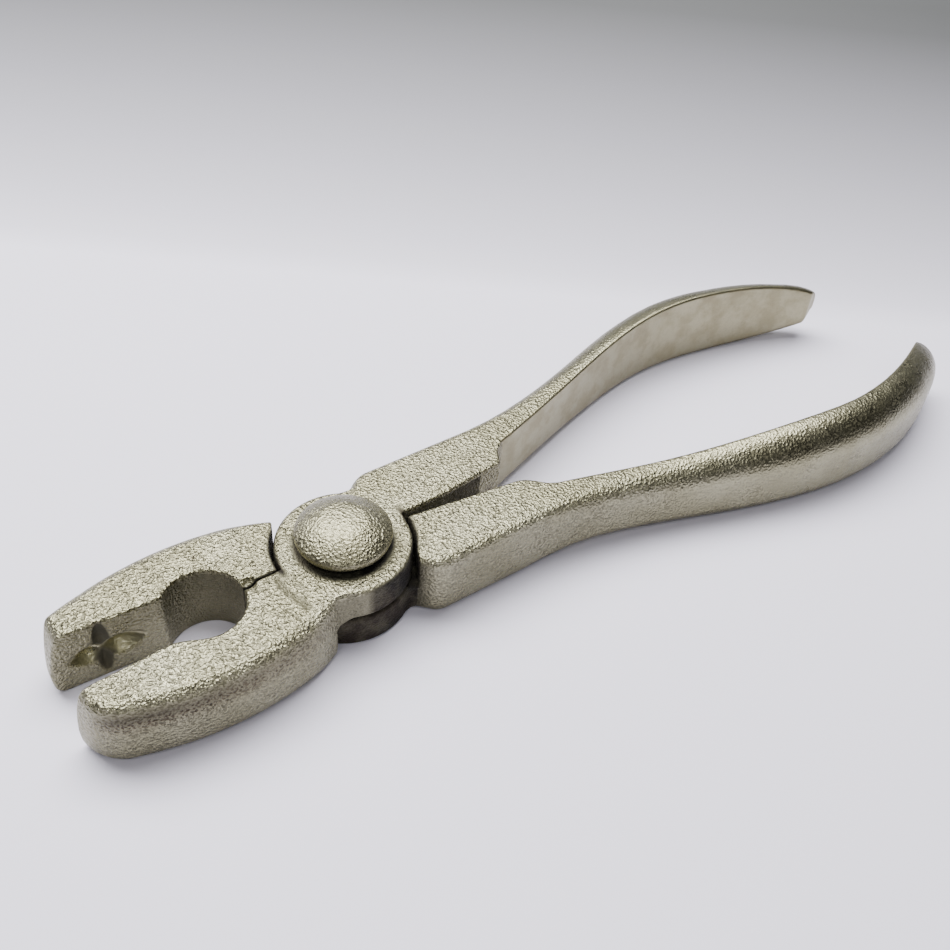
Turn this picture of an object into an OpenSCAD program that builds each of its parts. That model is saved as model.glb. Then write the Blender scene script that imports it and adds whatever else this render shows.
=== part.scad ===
// Half-lap pliers with a riveted joint, lying flat with the jaws closed on their stop.
// Frame: origin on the rivet's axis at the underside, +X toward the jaws, +Y toward
// the upper lever's jaw, +Z up.  Millimetres.

/* [Overall] */
// Thickness of the joint, the blocks and the jaws, which lie flat on z = 0
thickness = 14.4; // [13:0.1:16]
// Distance from the rivet's axis to the ends of the jaws
jaw_reach = 52.2; // [50:0.1:56]
// Distance from the rivet's axis to the end of the upper lever's handle
upper_handle_reach = 141.5; // [130:0.5:150]
// Distance from the rivet's axis to the end of the lower lever's handle
lower_handle_reach = 148.5; // [130:0.5:152]

/* [Joint] */
// Diameter of the round lap discs
lap_d = 25.2; // [24:0.1:26]
// Radial gap between a lap disc and the shoulders curved around it
shoulder_gap = 0.4; // [0.3:0.05:0.6]
// Gap between the two lap faces, and between the jaws' stop faces
face_gap = 0.3; // [0.2:0.05:0.4]
// Diameter of the rivet's shank
shank_d = 8; // [7:0.1:9]
// Radial running clearance of the upper lever on the shank
running_fit = 0.05; // [0.03:0.01:0.08]

/* [Rivet head] */
// Diameter of the rivet's domed head
head_d = 17.2; // [16:0.1:18]
// Height of the dome above its rim
dome_h = 3.0; // [2.5:0.1:3.4]
// Height of the straight rim under the dome
rim_h = 1.5; // [1:0.1:2]
// Diameter of the collar that holds the head off the lap face
collar_d = 12.4; // [11:0.1:13]
// Height of the head's underside above the lap face
collar_h = 1.4; // [1:0.1:1.6]

/* [Jaws] */
// Distance between the flat inner faces of the closed jaws, at their tips
jaw_opening = 11.6; // [10:0.1:12.5]
// Distance between the same faces where they meet the throat
jaw_opening_rear = 9.5; // [9:0.1:11]
// Diameter of the round throat behind the flat faces
throat_d = 14.6; // [14:0.1:15]
// Distance from the rivet's axis to the throat's centre
throat_x = 27.3; // [26.5:0.1:29]
// Width across both closed jaws at the widest place
jaw_width = 33.6; // [32:0.1:35]
// Distance from the rivet's axis to the centre of the cross grooves
groove_x = 43.6; // [43:0.1:45]
// Length of the groove that runs along the jaw
groove_length = 13.4; // [11:0.1:14]
// Width of both grooves at their crossing
groove_width = 3.4; // [3:0.1:4]

/* [Handles] */
// Distance from the rivet's axis to the end of the thick block behind the joint
block_end = 36.5; // [35:0.1:38]
// Half the width across both blocks
block_half_width = 14.1; // [13.5:0.1:14.5]
// Distance from the centre line to the inside of the upper lever's bow
upper_bow_inner = 21.2; // [19:0.1:24]
// Distance from the centre line to the outside of the upper lever's bow
upper_bow_outer = 28.0; // [26:0.1:32]
// Distance from the centre line to the inside of the lower lever's bow
lower_bow_inner = 23.3; // [19:0.1:24]
// Distance from the centre line to the outside of the lower lever's bow
lower_bow_outer = 30.9; // [28:0.1:32]
// Height of the handles at their bows
bow_height = 17.8; // [15:0.1:19]
// Height of the hollow under each handle's neck
neck_arch = 1.3; // [0.5:0.1:3]

/* [Hidden] */
$fn = 96;

// Room that a cutting shape takes past the solid it cuts
over = 1;
mid_z = thickness / 2;
lap_r = lap_d / 2;
shoulder_r = lap_r + shoulder_gap;
half_crack = face_gap / 2;
half_opening = jaw_opening / 2;
rear_half_opening = jaw_opening_rear / 2;
nickel = [0.72, 0.70, 0.65];
rivet_nickel = [0.78, 0.76, 0.71];

// The jaw's outer side is one long arc
jaw_arc_r = 58;
jaw_arc_x = 28;
jaw_root_x = 10;
jaw_edge_r = 2.4;
jaw_nose_r = 3;
bevel_y = 8.6;
bevel_back = 2.8;

// Shape of the block between the joint and the neck
block_front_x = -9.3;
block_front_y = 11.1;
block_side_x = -12.2;
block_inner_front = 0.6;
upper_block_inner_rear = 2.2;
lower_block_inner_rear = 3.6;
neck_x = block_end + 4;
neck_inner = 7.0;

// Countersink that the rivet's lower end is spread into
spread_d = 11.2;
spread_h = 1.7;

// Number of straight steps in each curved stretch of a handle
curve_steps = 14;
upper_bow_x = 96;
lower_bow_x = 110;
upper_end_y = 13.9;
lower_end_y = 15.8;
upper_end_shoulder = 20.5;
lower_end_shoulder = 26.5;

// Point on a cubic curve with four control points
function curve_point(p, t) =
    pow(1 - t, 3) * p[0]
    + 3 * pow(1 - t, 2) * t * p[1]
    + 3 * (1 - t) * pow(t, 2) * p[2]
    + pow(t, 3) * p[3];

// Stretch of a curve from its first point up to, but not including, its last
function curve(p) = [for (i = [0 : curve_steps - 1]) curve_point(p, i / curve_steps)];

function backwards(list) = [for (i = [len(list) - 1 : -1 : 0]) list[i]];

// Plan of a handle, with both coordinates positive, from the neck round the end and back.
// The shoulder is how far out the outer side still is shortly before the end.
function handle_outline(reach, bow_x, bow_inner, bow_outer, end_y, shoulder) =
    let (
        outer_run = bow_x - block_end,
        inner_end = [reach - 4.4, end_y - 1.9],
        outer_end = [reach - 0.6, end_y + 1.6],
        inner = concat(
            curve([
                [neck_x, neck_inner],
                [neck_x + 18.5, 12.2],
                [bow_x - 17, bow_inner],
                [bow_x, bow_inner]
            ]),
            curve([
                [bow_x, bow_inner],
                [bow_x + 13, bow_inner],
                [reach - 14, 12 + (bow_inner - 12) * 0.56],
                inner_end
            ])
        ),
        outer = concat(
            curve([
                [block_end, block_half_width],
                [block_end + outer_run * 0.35, block_half_width + 1.7],
                [bow_x - outer_run * 0.32, bow_outer],
                [bow_x, bow_outer]
            ]),
            curve([
                [bow_x, bow_outer],
                [bow_x + 17, bow_outer],
                [reach - 8, shoulder],
                outer_end
            ])
        )
    )
    concat(
        inner,
        [inner_end, [reach, end_y - 0.4], [reach, end_y + 0.6], outer_end],
        backwards(outer)
    );

// The lever behind the pivot from the side: arched under the neck, high at the bow,
// with a rounded end
function lever_side(reach) =
    let (
        arch_x = 48,
        end_z = 9,
        under = concat(
            curve([[30, 0], [37, 0], [41, neck_arch], [arch_x, neck_arch]]),
            curve([[arch_x, neck_arch], [58, neck_arch], [70, 0], [86, 0]])
        ),
        end = concat(
            curve([[reach - 30, 0], [reach - 14, 0], [reach, 2.5], [reach, end_z]]),
            curve([
                [reach, end_z],
                [reach, 15.5],
                [reach - 20, bow_height],
                [reach - 38, bow_height]
            ])
        ),
        rise = curve([
            [106, bow_height],
            [88, bow_height],
            [76, thickness],
            [56, thickness]
        ]),
        ring = concat([[0, 0]], under, [[86, 0]], end, rise, [[56, thickness], [0, thickness]])
    )
    [for (p = ring) [-p.x, p.y]];

// Plan of the jaw on the +Y side, from the joint to the tip
module jaw_plan() {
    difference() {
        intersection() {
            translate([jaw_arc_x, jaw_width / 2 - jaw_arc_r])
                circle(r = jaw_arc_r, $fn = 240);
            jaw_limits();
        }
        translate([throat_x, 0])
            circle(d = throat_d);
        polygon([
            [throat_x, -over],
            [throat_x, rear_half_opening - 0.25],
            [jaw_reach + over, half_opening + 0.05],
            [jaw_reach + over, -over]
        ]);
    }
}

// Straight edges that bound the jaw, with the bevelled front corner
module jaw_limits() {
    polygon([
        [0, half_crack],
        [jaw_reach, half_crack],
        [jaw_reach, bevel_y],
        [jaw_reach - bevel_back, bevel_y + 4],
        [jaw_reach - bevel_back - 1, 20],
        [jaw_root_x, 20],
        [jaw_root_x, 13.6],
        [0, 8]
    ]);
}

// Round-edged side and nose that the jaw is trimmed to
module jaw_rounding() {
    intersection() {
        translate([jaw_arc_x, jaw_width / 2 - jaw_arc_r, 0])
            rotate_extrude($fn = 240)
                rounded_edge(jaw_arc_r, jaw_edge_r);
        rotate([90, 0, 0])
            translate([0, 0, -40])
                linear_extrude(80)
                    rounded_edge(jaw_reach, jaw_nose_r);
    }
}

// Rectangle as high as the lever, with both far corners rounded
module rounded_edge(reach, edge_r) {
    square([reach - edge_r, thickness]);
    translate([0, edge_r])
        square([reach, thickness - 2 * edge_r]);
    translate([reach - edge_r, edge_r])
        circle(r = edge_r);
    translate([reach - edge_r, thickness - edge_r])
        circle(r = edge_r);
}

// Two crossing grooves in the jaw's inner face, each deepest in the middle
module cross_grooves() {
    translate([groove_x, half_opening, mid_z]) {
        rotate([0, 90, 0])
            spindle(groove_length, groove_width);
        spindle(thickness * 0.92, groove_width * 0.85);
    }
}

// Round bar that tapers to a point at both ends
module spindle(length, width) {
    rotate_extrude()
        polygon([[0, -length / 2], [width / 2, 0], [0, length / 2]]);
}

// Plan of the block on the -Y side
module block_plan(inner_rear) {
    polygon([
        [0, -block_inner_front],
        [-lap_r, -block_inner_front],
        [-block_end, -inner_rear],
        [-block_end - 1.9, -5],
        [-neck_x, -neck_inner],
        [-neck_x, -block_half_width],
        [block_side_x, -block_half_width],
        [block_front_x, -block_front_y],
        [0, -4]
    ]);
}

// Everything of a lever except its lap, with the jaw on the +Y side
module jaw_and_handle(reach, inner_rear, outline) {
    difference() {
        intersection() {
            linear_extrude(thickness)
                jaw_plan();
            jaw_rounding();
        }
        cross_grooves();
    }
    intersection() {
        linear_extrude(bow_height)
            union() {
                block_plan(inner_rear);
                rotate(180)
                    polygon(outline);
            }
        rotate([90, 0, 0])
            linear_extrude(40)
                polygon(lever_side(reach));
    }
}

module upper_lever() {
    color(nickel)
        difference() {
            union() {
                jaw_and_handle(
                    upper_handle_reach,
                    upper_block_inner_rear,
                    handle_outline(
                        upper_handle_reach,
                        upper_bow_x,
                        upper_bow_inner,
                        upper_bow_outer,
                        upper_end_y,
                        upper_end_shoulder
                    )
                );
                translate([0, 0, mid_z + half_crack])
                    cylinder(r = lap_r, h = mid_z - half_crack);
            }
            translate([0, 0, -over])
                cylinder(r = shoulder_r, h = mid_z + half_crack + over);
            translate([0, 0, -over])
                cylinder(r = shank_d / 2 + running_fit, h = thickness + 2 * over);
        }
}

module lower_lever() {
    color(nickel)
        difference() {
            union() {
                mirror([0, 1, 0])
                    jaw_and_handle(
                        lower_handle_reach,
                        lower_block_inner_rear,
                        handle_outline(
                            lower_handle_reach,
                            lower_bow_x,
                            lower_bow_inner,
                            lower_bow_outer,
                            lower_end_y,
                            lower_end_shoulder
                        )
                    );
                cylinder(r = lap_r, h = mid_z - half_crack);
            }
            translate([0, 0, mid_z - half_crack])
                cylinder(r = shoulder_r, h = mid_z + half_crack + over);
            translate([0, 0, -over])
                cylinder(r = shank_d / 2, h = thickness + 2 * over);
            spread_end();
        }
}

// Cone of the rivet's spread lower end
module spread_end() {
    cylinder(d1 = spread_d, d2 = shank_d, h = spread_h);
}

module pivot_rivet() {
    head_z = thickness + collar_h;
    dome_r = (pow(head_d / 2, 2) + pow(dome_h, 2)) / (2 * dome_h);
    color(rivet_nickel) {
        spread_end();
        cylinder(d = shank_d, h = head_z + rim_h);
        translate([0, 0, thickness + half_crack])
            cylinder(d = collar_d, h = collar_h);
        translate([0, 0, head_z])
            cylinder(d = head_d, h = rim_h);
        intersection() {
            translate([0, 0, head_z + rim_h + dome_h - dome_r])
                sphere(r = dome_r, $fn = 200);
            translate([0, 0, head_z + rim_h - 0.5])
                cylinder(d = head_d, h = dome_h + 1);
        }
    }
}

upper_lever();
lower_lever();
pivot_rivet();
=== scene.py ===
"""Half-lap pliers lying closed on a pale table.

Each lever is one cast body, so it is drawn as one continuous skin. Its shape is worked out
as a signed distance (negative inside) from rounded planes, arcs and curves in millimetres,
in the frame of the CAD part. A quad mesh is laid on the zero level of that distance.
"""

import math

import bpy
import numpy as np
from mathutils import Matrix, Vector


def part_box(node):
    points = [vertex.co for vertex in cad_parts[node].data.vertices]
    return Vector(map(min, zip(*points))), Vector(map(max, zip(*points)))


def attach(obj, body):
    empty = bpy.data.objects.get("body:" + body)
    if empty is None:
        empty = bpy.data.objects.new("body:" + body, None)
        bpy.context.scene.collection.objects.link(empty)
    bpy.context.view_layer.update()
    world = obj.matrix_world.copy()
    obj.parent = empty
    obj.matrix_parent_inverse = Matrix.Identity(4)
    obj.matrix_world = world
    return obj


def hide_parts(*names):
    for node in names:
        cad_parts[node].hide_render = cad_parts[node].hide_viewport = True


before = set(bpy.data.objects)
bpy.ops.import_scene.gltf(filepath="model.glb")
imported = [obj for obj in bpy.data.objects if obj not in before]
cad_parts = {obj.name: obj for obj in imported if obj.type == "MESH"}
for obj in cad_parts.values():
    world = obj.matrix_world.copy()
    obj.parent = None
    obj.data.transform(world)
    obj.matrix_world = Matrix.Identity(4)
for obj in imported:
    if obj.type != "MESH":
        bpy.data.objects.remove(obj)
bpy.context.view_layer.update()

MM = 0.001
# Spacing of the grid that the skins are sampled on, doubled along the handles
GRID_STEP = 0.33
HANDLE_GRID_END = -46.0


# ---------------------------------------------------------------- sizes from the frame

def box_mm(node):
    low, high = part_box(node)
    return np.array(low) / MM, np.array(high) / MM


upper_low, upper_high = box_mm("upper_lever")
lower_low, lower_high = box_mm("lower_lever")
rivet_high = box_mm("pivot_rivet")[1]

JAW_REACH = upper_high[0]
JAW_HALF_WIDTH = upper_high[1]
UPPER_BOW_OUTER = -upper_low[1]
LOWER_BOW_OUTER = lower_high[1]
UPPER_REACH = -upper_low[0]
LOWER_REACH = -lower_low[0]
# The photographed head is a little wider than the CAD head
HEAD_GROWTH = 1.03
HEAD_R = rivet_high[0] * HEAD_GROWTH
HEAD_TOP = rivet_high[2]

# Sizes that the nodes' boxes don't show, with the values of the CAD part
THICKNESS = 14.4
MID_Z = THICKNESS / 2
BOW_HEIGHT = 17.8
LAP_R = 12.6
HALF_CRACK = 0.15
SHANK_R = 4.0
RUNNING_GAP = 0.05
COLLAR_R = 6.2
COLLAR_H = 1.4
RIM_H = 1.5
SPREAD_R = 5.6
SPREAD_H = 1.7
THROAT_R = 7.3
THROAT_X = 27.3
FACE_AT_TIP = 5.8
JAW_ARC_R = 58.0
JAW_ARC_X = 28.0
BLOCK_HALF_WIDTH = 14.1
BLOCK_END = 36.5
BLOCK_INNER_FRONT = 0.6
NECK_X = 40.5
NECK_INNER = 7.0
NECK_ARCH = 1.3

# Sizes chosen for the visual model, where the CAD part is plainer or differs slightly
SHOULDER_R = 13.2
SPREAD_GAP = 0.07
SPREAD_RIM = 0.2
FACE_AT_THROAT = 4.5
TIP_BELLY = 0.9
GROOVE_X = 43.8
GROOVE_Z = 6.7
GROOVE_FLOOR_R = 0.45
CHIP_R = 1.5
CHIP_X = 18.9
DOME_H = 3.3
FACET_R = 4.3
# Radius of the small flat that closes each end of the rivet's skin on its axis
AXIS_R = 0.001

# Radii of the worn cast edges
EDGE_FINE = 0.5
EDGE_LAP = 0.9
EDGE_BLOCK = 1.9
EDGE_JAW = 2.3
FILLET_LAP = 1.8


# ---------------------------------------------------------------- distance functions

def round_max(a, b, radius):
    """Distance to what two shapes share, with the edge between them rounded."""
    corner = np.hypot(np.maximum(a + radius, 0), np.maximum(b + radius, 0))
    return np.minimum(np.maximum(a, b), -radius) + corner


def round_min(a, b, radius):
    """Distance to two shapes joined, with a fillet between them."""
    return -round_max(-a, -b, radius)


def outline_distance(u, v, outline):
    """Distance to a closed outline in a plane, negative inside it."""
    nearest = np.full(np.broadcast(u, v).shape, np.inf)
    inside = np.zeros(nearest.shape, bool)
    for (au, av), (bu, bv) in zip(outline, outline[1:] + outline[:1]):
        eu, ev = bu - au, bv - av
        share = ((u - au) * eu + (v - av) * ev) / (eu * eu + ev * ev)
        share = np.clip(share, 0, 1)
        gap = (u - au - share * eu) ** 2 + (v - av - share * ev) ** 2
        nearest = np.minimum(nearest, gap)
        if ev != 0:
            crosses = ((av > v) != (bv > v)) & (u < au + (v - av) * eu / ev)
            inside ^= crosses
    return np.where(inside, -1, 1) * np.sqrt(nearest)


def curve(points, steps=12):
    """Points on a cubic curve with four control points, without the last one."""
    p = [np.array(point, float) for point in points]
    out = []
    for i in range(steps):
        t = i / steps
        s = 1 - t
        q = s**3 * p[0] + 3 * s * s * t * p[1] + 3 * s * t * t * p[2] + t**3 * p[3]
        out.append((float(q[0]), float(q[1])))
    return out


def near(value, middle, width):
    """1 at the middle, falling smoothly to 0 at the given distance."""
    t = np.clip(1 - np.abs(value - middle) / width, 0, 1)
    return t * t * (3 - 2 * t)


# A line left by the mould on the upper lever, where the lap meets the jaw
CREASE = [(14.6, 1.5), (14.5, 5.3), (13.5, 8.2), (12.8, 10.5)]
CREASE += [(12.2, 10.3), (12.9, 7.9), (13.9, 5.1), (14.0, 1.5)]


def behind(points):
    """Sets points at their distance behind the pivot."""
    return [(-x, other) for x, other in points]


class Lever:
    """One lever, seen with its jaw on the +Y side and its handle on the -Y side."""

    def __init__(
        self, side, lap_on_top, reach, bow, end, step, block_front, spots,
        bevel, tip_lean, throat_edge, rear_corner, groove_rise,
    ):
        self.side = side
        self.lap_on_top = lap_on_top
        self.reach = reach
        self.block_front = block_front
        self.spots = spots
        self.bevel = bevel
        self.tip_lean = tip_lean
        self.throat_edge = throat_edge
        self.rear_corner = rear_corner
        self.groove_rise = groove_rise
        bow_x, bow_inner, bow_outer = bow
        end_y, shoulder = end
        run = bow_x - BLOCK_END
        neck_bow = (bow_x - 17, bow_inner)
        inner = curve([step[-1], (NECK_X + 18.5, 12.2), neck_bow, (bow_x, bow_inner)])
        toward_end = (reach - 14, 12 + (bow_inner - 12) * 0.56)
        inner_end = (reach - 4.4, end_y - 1.9)
        inner += curve([(bow_x, bow_inner), (bow_x + 13, bow_inner), toward_end, inner_end])
        side_start = (BLOCK_END, BLOCK_HALF_WIDTH)
        side_pull = (BLOCK_END + run * 0.35, BLOCK_HALF_WIDTH + 1.7)
        outer = curve([side_start, side_pull, (bow_x - run * 0.32, bow_outer), (bow_x, bow_outer)])
        outer_end = (reach + 0.4, end_y + 1.4)
        outer += curve([(bow_x, bow_outer), (bow_x + 17, bow_outer), (reach - 7.5, shoulder), outer_end])
        inner = [(0, BLOCK_INNER_FRONT), (LAP_R, BLOCK_INNER_FRONT)] + step[:-1] + inner
        inner += [inner_end, (reach + 3, end_y + 0.6)]
        outer = [(-5, BLOCK_HALF_WIDTH)] + outer + [outer_end, (reach + 2, end_y - 4)]
        self.inside_of_outer = behind(outer + [(reach, -60), (-5, -60)])
        self.outside_of_inner = behind(inner + [(reach + 40, end_y + 10), (reach + 40, 90), (0, 90)])
        under = curve([(30, 0), (37, 0), (41, NECK_ARCH), (48, NECK_ARCH)])
        under += curve([(48, NECK_ARCH), (58, NECK_ARCH), (70, 0), (86, 0)])
        nose = curve([(reach - 30, 0), (reach - 14, 0), (reach, 2.5), (reach, 9)])
        nose += curve([(reach, 9), (reach, 15.5), (reach - 20, BOW_HEIGHT), (reach - 38, BOW_HEIGHT)])
        rise = curve([(106, BOW_HEIGHT), (88, BOW_HEIGHT), (76, THICKNESS), (56, THICKNESS)])
        ring = [(-20, 0)] + under + [(86, 0)] + nose + rise + [(56, THICKNESS), (-20, THICKNESS)]
        self.side_outline = behind(ring)

    def slab(self, z):
        return np.abs(z - MID_Z) - MID_Z

    def face(self, x):
        """How far the jaw's inner face is from the centre line."""
        share = (x - THROAT_X) / (JAW_REACH - THROAT_X)
        return FACE_AT_THROAT + (FACE_AT_TIP - FACE_AT_THROAT) * share

    def jaw(self, x, y, z):
        arc = np.hypot(x - JAW_ARC_X, y - (JAW_HALF_WIDTH - JAW_ARC_R)) - JAW_ARC_R
        bevel_x, bevel_y = self.bevel
        across = math.hypot(1, 0.62)
        bevel = ((x - bevel_x) + (y - bevel_y) * 0.62) / across
        front = x - JAW_REACH - TIP_BELLY + self.tip_lean * np.maximum(z - 5, 0)
        front = front + 0.05 * np.maximum(6 - y, 0)
        rear = (9.5 - x) * 0.52 + (y - 13.1) * 0.85
        outline = round_max(round_max(arc, bevel, 2.0), front, 1.6)
        outline = round_max(outline, rear, self.rear_corner)
        outline = outline + 0.013 * np.maximum(z - 6, 0) ** 2 + 0.03 * np.maximum(4 - z, 0) ** 2
        edge = np.interp(x, (8, 14, 44, 50), (1.1, EDGE_JAW, EDGE_JAW, 1.6))
        body = round_max(outline, self.slab(z), edge)
        body = round_max(body, HALF_CRACK - y, EDGE_FINE)
        throat = THROAT_R - np.hypot(x - THROAT_X, y)
        face = np.minimum(self.face(x) - y, x - THROAT_X)
        body = round_max(body, round_max(throat, face, self.throat_edge), EDGE_FINE)
        return self.grooved(body, x, y, z)

    def grooved(self, body, x, y, z):
        """Cuts four leaf-shaped V grooves that meet in a cross in the inner face.

        Each arm has its place along and across it, its length, its half width and the
        share of its length at which it is widest.
        """
        depth = np.maximum(y - self.face(x), -1)
        along_x = x - GROOVE_X
        along_z = z - GROOVE_Z
        arms = (
            (-along_x, along_z, 8.4, 2.7, 0.35),
            (along_x, along_z, 6.7, 2.5, 0.30),
            (along_z, along_x, self.groove_rise, 1.8, 0.30),
            (-along_z, along_x, 7.2, 1.7, 0.30),
        )
        for along, across, length, half_width, widest in arms:
            t = np.clip(along / length, 0, 1.1)
            rise = np.clip(t / widest, 0, 1)
            fall = np.clip((1 - t) / (1 - widest), -0.2, 1)
            width = half_width * np.minimum(0.6 + 0.4 * rise * (2 - rise), fall * (2 - fall))
            # The floor of the V is slightly round, so the mesh can follow it
            v_cut = (np.hypot(across, GROOVE_FLOOR_R) + depth * 0.9 - width) * 0.74
            groove = np.maximum(v_cut, -along - 0.3)
            body = round_max(body, -groove, 0.3)
        return body

    def rear_part(self, x, y, z):
        """The block behind the joint and the handle, which run into each other."""
        v = -y
        profile = outline_distance(x, z, self.side_outline)
        outer = outline_distance(x, v, self.inside_of_outer)
        inner = outline_distance(x, v, self.outside_of_inner)
        (front_x, front_v), (across, out) = self.block_front
        front = (x - front_x) * across + (v - front_v) * out
        outer = round_max(outer, front, 1.5)
        places = (-self.reach, -self.reach + 12, -112, -88, -66, -50, -BLOCK_END)
        upper = np.interp(x, places, (3.0, 6.0, 7.0, 6.6, 4.8, 3.2, EDGE_BLOCK))
        under = np.interp(x, places, (3.0, 3.6, 3.6, 3.2, 2.8, 2.4, 2.1))
        body = round_max(outer, profile, np.where(z > MID_Z + 1, upper, under))
        inner_under = np.interp(x, (-60, -NECK_X), (1.6, 0.8))
        return round_max(body, inner, np.where(z > MID_Z, EDGE_FINE, inner_under))

    def distance(self, x, y, z):
        """Distance to the whole lever from points in the part's frame."""
        y = y * self.side
        radius = np.hypot(x, y)
        half_height = (MID_Z - HALF_CRACK) / 2
        if self.lap_on_top:
            half = np.abs(z - (THICKNESS - half_height)) - half_height
            beyond = z - MID_Z - HALF_CRACK
        else:
            half = np.abs(z - half_height) - half_height
            beyond = MID_Z - HALF_CRACK - z
        # Past the lap the shoulders run straight on, so the gap opens outward
        block_flare = -((x + 11.25) * 0.92 - (-y - 6.5) * 0.39)
        jaw_flare = -((10.9 - x) * 0.91 - (y - 6.5) * 0.42)
        room = np.minimum(radius - SHOULDER_R, np.maximum(6.3 + y, block_flare))
        room = np.minimum(room, np.maximum(6.3 - y, jaw_flare))
        room = np.maximum(np.maximum(room, beyond), radius - 18)
        lap = round_max(radius - LAP_R, half, EDGE_LAP)
        body = np.minimum(self.rear_part(x, y, z), self.jaw(x, y, z))
        body = round_max(body, -room, 0.45)
        body = round_min(body, lap, FILLET_LAP)
        # The fillets stay on this lever's own side of the lap
        outside_lap = LAP_R - radius
        jaw_side = np.maximum(np.maximum(-x, y - HALF_CRACK), outside_lap)
        block_side = np.maximum(np.maximum(x, -BLOCK_INNER_FRONT - y), outside_lap)
        body = np.maximum(body, -jaw_side)
        body = np.maximum(body, -block_side)
        body = np.maximum(body, -room)
        if self.lap_on_top:
            crease = near(outline_distance(x, y, CREASE) + 0.35, 0, 0.55)
            body = body + 0.32 * crease * (z > THICKNESS - 1.5)
        chip = CHIP_R - np.sqrt((x - CHIP_X) ** 2 + y**2 + (z - THICKNESS - 0.3) ** 2)
        body = round_max(body, chip, 0.2)
        # The blend above must not raise the flat top near the rivet
        body = np.maximum(body, z - THICKNESS - np.maximum(radius - 15, 0))
        hole = SHANK_R + RUNNING_GAP - radius
        if not self.lap_on_top:
            taper = (SPREAD_R - SHANK_R) / (SPREAD_H - SPREAD_RIM)
            countersink = SPREAD_R + SPREAD_GAP - np.maximum(z - SPREAD_RIM, 0) * taper - radius
            hole = np.maximum(hole, countersink * 0.7)
        return np.maximum(body, hole)


# ---------------------------------------------------------------- meshing

def surface_net(field, axes):
    """Vertices and quads on the zero level of a field sampled on a grid."""
    cells = tuple(n - 1 for n in field.shape)
    total = np.zeros(cells + (3,), np.float32)
    count = np.zeros(cells, np.int32)
    crossings = []
    index = np.indices(field.shape, sparse=True)
    for axis in range(3):
        near = np.take(field, range(field.shape[axis] - 1), axis)
        far = np.take(field, range(1, field.shape[axis]), axis)
        crosses = (near < 0) != (far < 0)
        share = np.where(crosses, near / np.where(crosses, near - far, 1), 0)
        others = [a for a in range(3) if a != axis]
        for da in (0, 1):
            for db in (0, 1):
                pick = [slice(None)] * 3
                place = [slice(None)] * 3
                for other, d in zip(others, (da, db)):
                    n = field.shape[other]
                    pick[other] = slice(1, n) if d == 0 else slice(0, n - 1)
                    place[other] = slice(0, n - 1)
                c = crosses[tuple(pick)]
                s = share[tuple(pick)]
                count[tuple(place)] += c
                for k in range(3):
                    if k == axis:
                        offset = s
                    else:
                        offset = 1.0 if (da, db)[others.index(k)] == 0 else 0.0
                    total[tuple(place) + (k,)] += np.where(c, offset, 0)
        crossings.append((axis, others, crosses, near < 0))
    used = count > 0
    number = np.full(cells, -1, np.int64)
    number[used] = np.arange(used.sum())
    local = total[used] / count[used][:, None]
    places = np.argwhere(used) + local
    points = np.empty_like(places)
    for k in range(3):
        points[:, k] = np.interp(places[:, k], np.arange(len(axes[k])), axes[k])
    quads = []
    for axis, others, crosses, starts_inside in crossings:
        at = np.argwhere(crosses)
        a, b = others
        ok = (at[:, a] > 0) & (at[:, b] > 0)
        ok &= (at[:, a] < cells[a]) & (at[:, b] < cells[b])
        at = at[ok]
        inside = starts_inside[tuple(at.T)]
        ring = []
        for da, db in ((1, 1), (0, 1), (0, 0), (1, 0)):
            cell = at.copy()
            cell[:, a] -= da
            cell[:, b] -= db
            ring.append(number[tuple(cell.T)])
        quad = np.stack(ring, 1)
        flip = inside if axis != 1 else ~inside
        quad[~flip] = quad[~flip][:, ::-1]
        quads.append(quad)
    return points, np.vstack(quads)


def settle(points, quads, distance, rounds):
    """Evens the mesh out, then moves its vertices back onto the surface."""
    probe = 0.02
    first = quads[:, [0, 1, 2, 3]].ravel()
    second = quads[:, [1, 2, 3, 0]].ravel()
    degree = np.bincount(first, minlength=len(points)) + np.bincount(second, minlength=len(points))
    for i in range(rounds):
        if i < rounds - 1:
            total = np.zeros_like(points)
            for k in range(3):
                total[:, k] = np.bincount(first, points[second, k], len(points))
                total[:, k] += np.bincount(second, points[first, k], len(points))
            points = points * 0.5 + 0.5 * total / degree[:, None]
        for _ in range(3 if i == rounds - 1 else 1):
            d = distance(*points.T)
            slope = np.empty_like(points)
            for k in range(3):
                moved = points.copy()
                moved[:, k] += probe
                slope[:, k] = (distance(*moved.T) - d) / probe
            steepness = np.maximum((slope**2).sum(1), 0.25)
            step = np.clip(d / steepness, -0.3, 0.3)
            points = points - slope * step[:, None]
    return points


def mesh_object(name, points, faces, attributes):
    mesh = bpy.data.meshes.new(name)
    mesh.from_pydata((points * MM).tolist(), [], faces)
    mesh.validate()
    for key, values in attributes.items():
        layer = mesh.attributes.new(key, "FLOAT", "POINT")
        layer.data.foreach_set("value", values.astype(np.float32))
    mesh.shade_smooth()
    obj = bpy.data.objects.new(name, mesh)
    bpy.context.scene.collection.objects.link(obj)
    return obj


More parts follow.
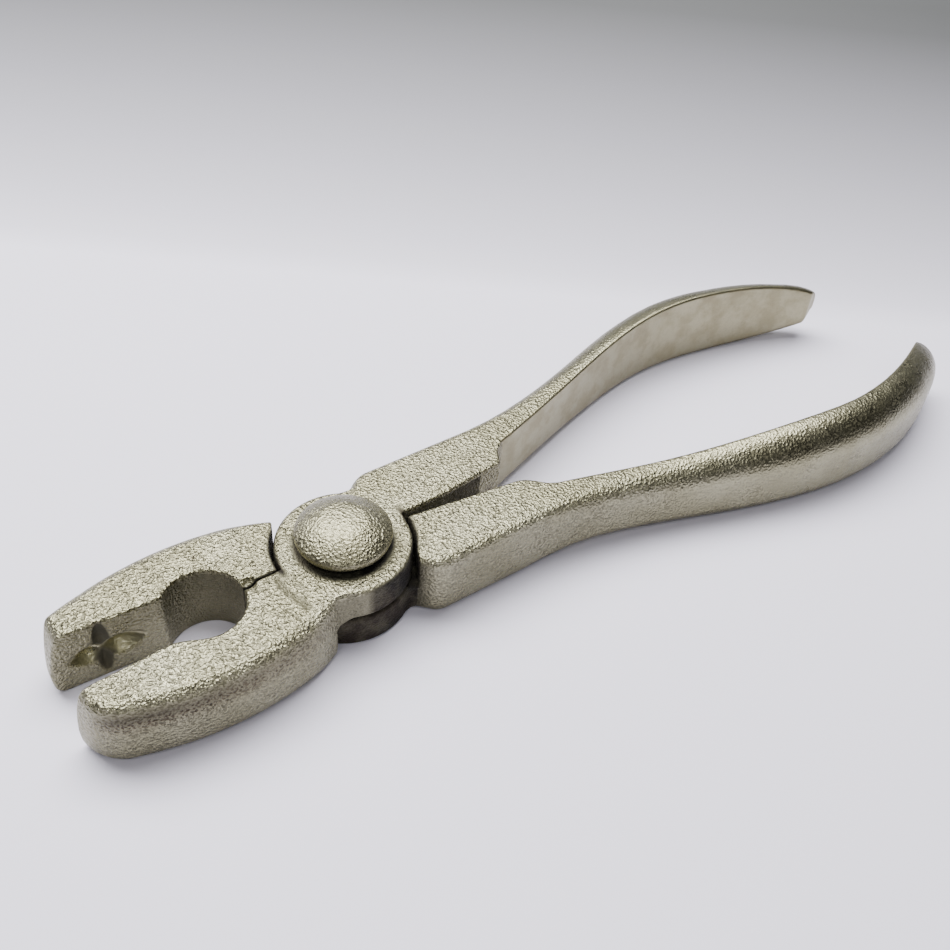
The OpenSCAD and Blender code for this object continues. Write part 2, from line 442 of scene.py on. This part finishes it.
def lever_marks(points, lever):
    """Where the lever is ground, where grime collects and shade is painted in as darkening, where it has
    rusted or a dark reflection is painted on, and where the cast skin is worn smooth."""
    x, y, z = points.T
    y = y * lever.side
    v = -y
    radius = np.hypot(x, y)
    inner = outline_distance(x, v, lever.outside_of_inner)
    ground = near(inner, 0, 0.9) * (x < -NECK_X)
    on_top = z > THICKNESS - 1
    # Painted shadow: a dark ring on the lap's top around and under the rivet head
    shade_under_head = np.minimum(near(radius, HEAD_R - 0.9, 2.3) * 1.5, 1) * on_top * lever.lap_on_top
    own_half = (z > MID_Z) == lever.lap_on_top
    joined = own_half * np.clip(x * y / 40, 0, 1)
    # Painted shade with some grime in the gap round the lap, left off where this lever's own half joins
    # the lap
    gap = near(radius, (LAP_R + SHOULDER_R) / 2, 1.1) * 1.6 * (1 - joined)
    # Painted shade with some grime on the faces below the top near the lap, stronger on the lower lever
    shade_below_lap = (radius < LAP_R + 1.8) * (0.35 + 0.65 * (not lever.lap_on_top)) * ~on_top
    # Painted shade with some grime along the crack between the jaws
    crack_grime_and_shade = near(y, HALF_CRACK, 0.5) * (x > LAP_R) * (x < THROAT_X - THROAT_R)
    # Painted shade and dark reflection with a little brown grime on the throat's wall
    throat = near(np.hypot(x - THROAT_X, y), THROAT_R, 0.7) * 0.4 * (x < THROAT_X + 5.5) * ~on_top
    chip = near(np.hypot(x - CHIP_X, y), 0, CHIP_R) * on_top
    # Painted shade with some grime on the block's inner face, next to the other lever's jaw
    block_gap_dirt_and_shade = near(v, 1.5, 2.2) * (x < -LAP_R) * (x > -BLOCK_END + 5) * ~on_top * 0.8
    crease = near(outline_distance(x, y, CREASE), 0, 0.9) * on_top * lever.lap_on_top * 0.45
    # Painted shade with some grime on the shoulder walls around the lap
    front_wall_dirt_and_shade = near(radius, SHOULDER_R + 1, 3.5) * (y * (x < 0) < 0) * ~on_top * 0.7
    # The marks gathered here are grime and painted shade in gaps, recesses and undersides
    places = (shade_under_head, gap, shade_below_lap, crack_grime_and_shade, throat, chip, block_gap_dirt_and_shade, front_wall_dirt_and_shade, crease)
    grime_and_shade = np.clip(np.maximum.reduce(places), 0, 1)
    # Each jaw's outer side gets a reddish-brown tarnish band below its rounded upper edge, which is also
    # a painted dark reflection
    arc = np.hypot(x - JAW_ARC_X, y - (JAW_HALF_WIDTH - JAW_ARC_R)) - JAW_ARC_R
    tarnish_and_reflection_band = near(z, 10.8, 3.6) * near(arc, 0, 2.5) * (x > 8) * (y > 0)
    rust_and_reflection = tarnish_and_reflection_band * np.interp(x, (14, 34), (0.55, 1.0))
    for spot_x, spot_y, spot_z, size in lever.spots:
        away = np.sqrt((x - spot_x) ** 2 + (y - spot_y) ** 2 + (z - spot_z) ** 2)
        rust_and_reflection = np.maximum(rust_and_reflection, near(away, 0, size))
    in_groove = (x > THROAT_X + 7) * np.clip((y - lever.face(x) - 0.15) / 0.3, 0, 1)
    in_groove = in_groove * (np.hypot(x - GROOVE_X, z - GROOVE_Z) < 8) * (y < lever.face(x) + 2.9)
    in_groove = in_groove * (z < THICKNESS - 1.2) * (z > 1.0)
    smooth = np.maximum(np.interp(x, (-100, -70, -42), (0.7, 0.56, 0)), in_groove)
    # In the grooves, painted shade with some soot darkens the overhanging walls and the upright arms
    upright = np.clip((np.abs(z - GROOVE_Z) - np.abs(x - GROOVE_X) * 0.9) / 0.8 + 0.3, 0, 1)
    overhang_shade = np.clip((z - GROOVE_Z) / 0.6, 0, 1)
    grime_and_shade = np.maximum(grime_and_shade, in_groove * np.maximum(upright * 0.75, overhang_shade * 0.6))
    # Painted dark reflection in a band on each jaw's outer side below its upper edge
    dark_reflection_band = near(z, 11.8, 2.3) * near(arc, 0, 2.5) * (x > 8) * (y > 0)
    grime_and_shade = np.maximum(grime_and_shade, dark_reflection_band * np.interp(x, (20, 44), (0.1, 0.5)))
    return {"ground": ground, "grime_and_shade": grime_and_shade, "rust_and_reflection": rust_and_reflection, "smooth": smooth}


def grid_axes(low, high):
    """Grid lines, closer together at the joint and the jaws than along the handles."""
    margin = 2 * GRID_STEP
    handle = np.arange(low[0] - 2 * margin, HANDLE_GRID_END, 2 * GRID_STEP)
    front = np.arange(HANDLE_GRID_END, high[0] + TIP_BELLY + margin + GRID_STEP, GRID_STEP)
    axes = [np.concatenate([handle, front])]
    for a, b in zip(low[1:], high[1:]):
        axes.append(np.arange(a - margin, b + margin + GRID_STEP, GRID_STEP))
    return axes


def build_lever(name, lever, low, high):
    axes = grid_axes(low, high)
    x, y, z = np.meshgrid(*axes, indexing="ij", sparse=True)
    field = np.broadcast_to(lever.distance(x, y, z), [len(a) for a in axes])
    points, quads = surface_net(field, axes)
    points = settle(points, quads, lever.distance, 4)
    points[:, 2] = np.maximum(points[:, 2], 0)
    return mesh_object(name, points, quads.tolist(), lever_marks(points, lever))


# ---------------------------------------------------------------- rivet

def dome_height(r):
    """Height of the dome above its rim: a round cap with a flatter middle."""
    cap_r = (HEAD_R**2 + DOME_H**2) / (2 * DOME_H)
    height = DOME_H - cap_r + math.sqrt(cap_r**2 - max(r, FACET_R) ** 2)
    if r < FACET_R:
        peak = HEAD_TOP - THICKNESS - COLLAR_H - RIM_H
        height += (peak - height) * (1 - (r / FACET_R) ** 2)
    return height


def rivet_profile():
    """Radius and height up the rivet's outline, from the axis below to the axis above."""
    head_z = THICKNESS + COLLAR_H
    rim_z = head_z + RIM_H
    out = [(0, 0), (SPREAD_R - 0.3, 0), (SPREAD_R, SPREAD_RIM), (SHANK_R, SPREAD_H)]
    out += [(SHANK_R, THICKNESS + HALF_CRACK), (COLLAR_R, THICKNESS + HALF_CRACK)]
    out += [(COLLAR_R, head_z), (HEAD_R - 0.9, head_z), (HEAD_R - 0.4, head_z + 0.08)]
    out += [(HEAD_R - 0.12, head_z + 0.3), (HEAD_R, head_z + 0.7), (HEAD_R, rim_z - 0.35)]
    out += [(HEAD_R - 0.06, rim_z - 0.1)]
    rings = 48
    for i in range(rings + 1):
        r = (HEAD_R - 0.2) * (1 - i / rings)
        out.append((r, rim_z + dome_height(r)))
    return out


def build_rivet(name, segments):
    profile = rivet_profile()
    points = []
    quads = []
    for r, z in profile:
        ring_r = max(r, AXIS_R)
        for i in range(segments):
            a = 2 * math.pi * i / segments
            points.append((ring_r * math.cos(a), ring_r * math.sin(a), z))
    for j in range(len(profile) - 1):
        for i in range(segments):
            k = (i + 1) % segments
            ring = j * segments
            above = ring + segments
            quads.append((ring + i, ring + k, above + k, above + i))
    last_ring = (len(profile) - 1) * segments
    ends = [list(range(segments))[::-1], list(range(last_ring, last_ring + segments))]
    points = np.array(points)
    head_z = THICKNESS + COLLAR_H
    # Painted shade: the rivet is darkened from its head's lower rim down, on the collar and the shank
    grime_and_shade = np.clip((head_z + 0.9 - points[:, 2]) / 0.9, 0, 1)
    clean = grime_and_shade * 0
    marks = {"ground": clean, "grime_and_shade": grime_and_shade, "rust_and_reflection": clean, "smooth": clean}
    return mesh_object(name, points, quads + ends, marks)


upper_shape = Lever(
    side=1,
    lap_on_top=True,
    reach=UPPER_REACH,
    bow=(96, 21.2, UPPER_BOW_OUTER),
    end=(13.9, 20.5),
    step=[(22, 0.7), (BLOCK_END, 2.2), (38.2, 5.4), (NECK_X, NECK_INNER)],
    block_front=((-9.6, 13.1), (0.62, 0.78)),
    spots=[(-34.0, -2.2, 8.0, 2.4), (-30.5, -2.0, 6.0, 1.5)],
    bevel=(51.5, 9.9),
    tip_lean=0.12,
    throat_edge=2.4,
    rear_corner=1.3,
    groove_rise=6.2,
)
lower_shape = Lever(
    side=-1,
    lap_on_top=False,
    reach=LOWER_REACH,
    bow=(110, 23.3, LOWER_BOW_OUTER),
    end=(15.8, 25.0),
    step=[(BLOCK_END, 3.6), (37.8, 4.1), (39.2, 5.2), (41.2, 7.1), (43.0, 8.0)],
    block_front=((-9.3, 11.1), (0.72, 0.69)),
    spots=[(24.4, 10.2, THICKNESS, 0.7)],
    bevel=(52.3, 11.4),
    tip_lean=0.16,
    throat_edge=0.5,
    rear_corner=2.6,
    groove_rise=8.8,
)
upper = build_lever("upper_lever_skin", upper_shape, upper_low, upper_high)
lower = build_lever("lower_lever_skin", lower_shape, lower_low, lower_high)
rivet = build_rivet("pivot_rivet_skin", 144)

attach(upper, "upper")
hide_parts("upper_lever")
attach(lower, "lower")
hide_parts("lower_lever")
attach(rivet, "lower")
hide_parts("pivot_rivet")


# ---------------------------------------------------------------- materials

def new_material(name):
    material = bpy.data.materials.new(name)
    material.use_nodes = True
    nodes = material.node_tree.nodes
    nodes.clear()
    output = nodes.new("ShaderNodeOutputMaterial")
    shader = nodes.new("ShaderNodeBsdfPrincipled")
    material.node_tree.links.new(shader.outputs[0], output.inputs[0])
    return material, shader


class Graph:
    """Short names for the node calls that a material needs."""

    def __init__(self, material):
        self.nodes = material.node_tree.nodes
        self.links = material.node_tree.links

    def plug(self, source, socket):
        if isinstance(source, (int, float, tuple)):
            socket.default_value = source
        else:
            self.links.new(source, socket)

    def place(self):
        return self.nodes.new("ShaderNodeTexCoord").outputs["Object"]

    def noise(self, place, scale, detail=2.0, rough=0.5):
        node = self.nodes.new("ShaderNodeTexNoise")
        node.inputs["Scale"].default_value = scale
        node.inputs["Detail"].default_value = detail
        node.inputs["Roughness"].default_value = rough
        self.plug(place, node.inputs["Vector"])
        return node.outputs["Fac"]

    def cells(self, place, scale, smoothness=0.6):
        node = self.nodes.new("ShaderNodeTexVoronoi")
        node.feature = "SMOOTH_F1"
        node.inputs["Scale"].default_value = scale
        node.inputs["Smoothness"].default_value = smoothness
        self.plug(place, node.inputs["Vector"])
        return node.outputs["Distance"]

    def attribute(self, key):
        node = self.nodes.new("ShaderNodeAttribute")
        node.attribute_name = key
        return node.outputs["Fac"]

    def math(self, operation, a, b=0.0, clamp=False):
        node = self.nodes.new("ShaderNodeMath")
        node.operation = operation
        node.use_clamp = clamp
        self.plug(a, node.inputs[0])
        self.plug(b, node.inputs[1])
        return node.outputs[0]

    def ramp(self, value, low, high, to_low=0.0, to_high=1.0):
        node = self.nodes.new("ShaderNodeMapRange")
        node.interpolation_type = "SMOOTHSTEP"
        self.plug(value, node.inputs["Value"])
        node.inputs["From Min"].default_value = low
        node.inputs["From Max"].default_value = high
        node.inputs["To Min"].default_value = to_low
        node.inputs["To Max"].default_value = to_high
        return node.outputs["Result"]

    def mix(self, factor, a, b):
        node = self.nodes.new("ShaderNodeMix")
        node.data_type = "RGBA"
        self.plug(factor, node.inputs["Factor"])
        self.plug(a, node.inputs["A"])
        self.plug(b, node.inputs["B"])
        return node.outputs["Result"]

    def mix_value(self, factor, a, b):
        node = self.nodes.new("ShaderNodeMix")
        node.data_type = "FLOAT"
        self.plug(factor, node.inputs["Factor"])
        self.plug(a, node.inputs["A"])
        self.plug(b, node.inputs["B"])
        return node.outputs["Result"]

    def bump(self, height, strength, distance):
        node = self.nodes.new("ShaderNodeBump")
        self.plug(strength, node.inputs["Strength"])
        node.inputs["Distance"].default_value = distance
        self.plug(height, node.inputs["Height"])
        return node.outputs["Normal"]


def nickel(name, pebble_height, pebble_scale):
    """Worn nickel plate on a casting: pebbled skin, ground faces, soot and painted shade in the
    recesses.
    """
    material, shader = new_material(name)
    g = Graph(material)
    place = g.place()
    ground = g.attribute("ground")
    grime_and_shade_mark = g.attribute("grime_and_shade")
    rust_and_reflection_mark = g.attribute("rust_and_reflection")
    smooth = g.attribute("smooth")

    pebbles = g.noise(place, pebble_scale, 1.0, 0.5)
    pits = g.cells(place, pebble_scale * 0.9, 0.4)
    fine = g.noise(place, pebble_scale * 2.8, 1.0)
    patches = g.noise(place, 90, 3.0)
    stains = g.noise(place, 210, 4.0, 0.6)

    skin = g.math("ADD", pebbles, g.math("MULTIPLY", pits, -0.45))
    skin = g.math("ADD", skin, g.math("MULTIPLY", fine, 0.16))
    low_places = g.ramp(skin, 0.36, 0.20)
    roughness_skin = g.ramp(stains, 0.3, 0.7, 0.34, 0.25)
    roughness_ground = g.ramp(stains, 0.3, 0.7, 0.46, 0.34)

    # Grime and painted shade from the marks, broken up by the stains
    grime_and_shade = g.math("MULTIPLY", grime_and_shade_mark, g.ramp(stains, 0.3, 0.6, 0.8, 1.0))
    spread = g.ramp(stains, 0.40, 0.66, 0.14, 0.38)
    spread = g.math("MULTIPLY", spread, g.ramp(smooth, 0.0, 1.0, 1.0, 0.5))
    # Grime and painted shade in the low pits of the pebbled skin, little on ground faces
    pit_grime_and_shade = g.math("MULTIPLY", low_places, g.mix_value(ground, spread, 0.05))
    dirt_and_shade = g.math("MAXIMUM", grime_and_shade, pit_grime_and_shade)

    plate = g.mix(g.ramp(patches, 0.35, 0.65), (0.262, 0.246, 0.158, 1), (0.312, 0.296, 0.200, 1))
    satin = g.mix(g.ramp(stains, 0.38, 0.62), (0.285, 0.260, 0.164, 1), (0.330, 0.308, 0.205, 1))
    colour = g.mix(ground, plate, satin)
    # Dark colour for the grime and the painted shade
    soot_and_shade = g.mix(g.ramp(patches, 0.4, 0.6), (0.007, 0.006, 0.0045, 1), (0.026, 0.019, 0.012, 1))
    # Rust spots, and on the jaws' outer sides reddish tarnish with a painted dark reflection
    rust_and_reflection = g.math("MULTIPLY", rust_and_reflection_mark, g.ramp(skin, 0.44, 0.22, 0.4, 1.0))
    colour = g.mix(rust_and_reflection, colour, (0.060, 0.043, 0.027, 1))
    g.plug(g.mix(dirt_and_shade, colour, soot_and_shade), shader.inputs["Base Color"])
    rough = g.mix_value(ground, roughness_skin, roughness_ground)
    g.plug(g.mix_value(dirt_and_shade, rough, 0.75), shader.inputs["Roughness"])
    g.plug(g.math("SUBTRACT", 1.0, g.math("MULTIPLY", dirt_and_shade, 0.8), True), shader.inputs["Metallic"])
    shader.inputs["Specular IOR Level"].default_value = 0.25
    not_ground = g.ramp(ground, 0.0, 1.0, 1.0, 0.08)
    strength = g.math("MULTIPLY", not_ground, g.ramp(smooth, 0.0, 1.0, 1.0, 0.17))
    g.plug(g.bump(skin, strength, pebble_height), shader.inputs["Normal"])
    return material


cast = nickel("cast_nickel", 0.00036, 2000)
hammered = nickel("rivet_nickel", 0.00021, 2100)
upper.data.materials.append(cast)
lower.data.materials.append(cast)
rivet.data.materials.append(hammered)


# ---------------------------------------------------------------- table, light and camera

HEADING = math.radians(38.3)
PITCH = math.radians(44.4)
ROLL = math.radians(-5.2)
CAMERA_AT = Vector((0.0642, 0.1177, 0.1634))
LENS = 41.68
AWAY = Vector((-math.sin(HEADING), -math.cos(HEADING), 0))
ACROSS = Vector((AWAY.y, -AWAY.x, 0))
UP = Vector((0, 0, 1))
BACKDROP_START = 0.235
BACKDROP_R = 0.30
BACKDROP_TOP = 0.75
TABLE_REACH = 4.0
# Angle up the curve at which the painted shade on the sheet is darkest
BACKDROP_SHADE_END = math.radians(25)


def studio(across, away, height):
    """A place given from the camera's foot: sideways, away from the camera, and up."""
    foot = Vector((CAMERA_AT.x, CAMERA_AT.y, 0))
    return foot + ACROSS * across + AWAY * away + UP * height


def build_table():
    """A sheet that lies flat under the tool and curves up behind it."""
    profile = [(-TABLE_REACH, 0.0, 0.0), (BACKDROP_START, 0.0, 0.0)]
    steps = 48
    for i in range(1, steps + 1):
        a = math.pi / 2 * i / steps
        forward = BACKDROP_START + BACKDROP_R * math.sin(a)
        profile.append((forward, BACKDROP_R * (1 - math.cos(a)), min(a / BACKDROP_SHADE_END, 1) ** 0.65))
    profile.append((BACKDROP_START + BACKDROP_R, BACKDROP_TOP, 1.0))
    points = []
    backdrop_shade = []
    for away, height, shade in profile:
        for across in (-TABLE_REACH, TABLE_REACH):
            points.append(studio(across, away, height))
            backdrop_shade.append(shade)
    faces = [(2 * i, 2 * i + 1, 2 * i + 3, 2 * i + 2) for i in range(len(profile) - 1)]
    mesh = bpy.data.meshes.new("table")
    mesh.from_pydata(points, [], faces)
    mesh.attributes.new("backdrop_shade", "FLOAT", "POINT").data.foreach_set("value", backdrop_shade)
    mesh.shade_smooth()
    table = bpy.data.objects.new("table", mesh)
    bpy.context.scene.collection.objects.link(table)
    material, shader = new_material("table_paper")
    g = Graph(material)
    tone = g.noise(g.place(), 6, 2.0)
    paper = g.mix(tone, (0.76, 0.735, 0.85, 1), (0.79, 0.77, 0.865, 1))
    # Painted shade: the sheet gets darker as it curves up behind the tool
    g.plug(g.mix(g.attribute("backdrop_shade"), paper, (0.085, 0.087, 0.088, 1)), shader.inputs["Base Color"])
    shader.inputs["Roughness"].default_value = 0.55
    shader.inputs["Specular IOR Level"].default_value = 0.25
    table.data.materials.append(material)


def build_camera():
    data = bpy.data.cameras.new("camera")
    camera = bpy.data.objects.new("camera", data)
    bpy.context.scene.collection.objects.link(camera)
    bpy.context.scene.camera = camera
    ahead = AWAY * math.cos(PITCH) - UP * math.sin(PITCH)
    above = ACROSS.cross(ahead)
    right = ACROSS * math.cos(ROLL) - above * math.sin(ROLL)
    turned = Matrix((right, right.cross(ahead), -ahead)).transposed().to_4x4()
    turned.translation = CAMERA_AT
    camera.matrix_world = turned
    data.lens = LENS
    data.clip_start = 0.01


def area_light(name, at, target, size, power):
    """A soft box with its long side across the view."""
    light = bpy.data.lights.new(name, "AREA")
    light.shape = "RECTANGLE"
    light.size, light.size_y = size
    light.energy = power
    obj = bpy.data.objects.new(name, light)
    back = (at - target).normalized()
    turned = Matrix((ACROSS, back.cross(ACROSS), back)).transposed().to_4x4()
    turned.translation = at
    obj.matrix_world = turned
    bpy.context.scene.collection.objects.link(obj)


build_table()
build_camera()
TOOL_AT = studio(0, 0.16, 0.01)
area_light("above_behind", studio(-0.16, 0.34, 0.55), studio(-0.05, 0.11, 0), (0.80, 0.36), 13.0)
area_light("fill", studio(0.04, -0.20, 0.55), TOOL_AT, (0.50, 0.24), 1.3)

world = bpy.data.worlds.new("room")
bpy.context.scene.world = world
world.use_nodes = True
world.node_tree.nodes["Background"].inputs[0].default_value = (0.05, 0.05, 0.053, 1)
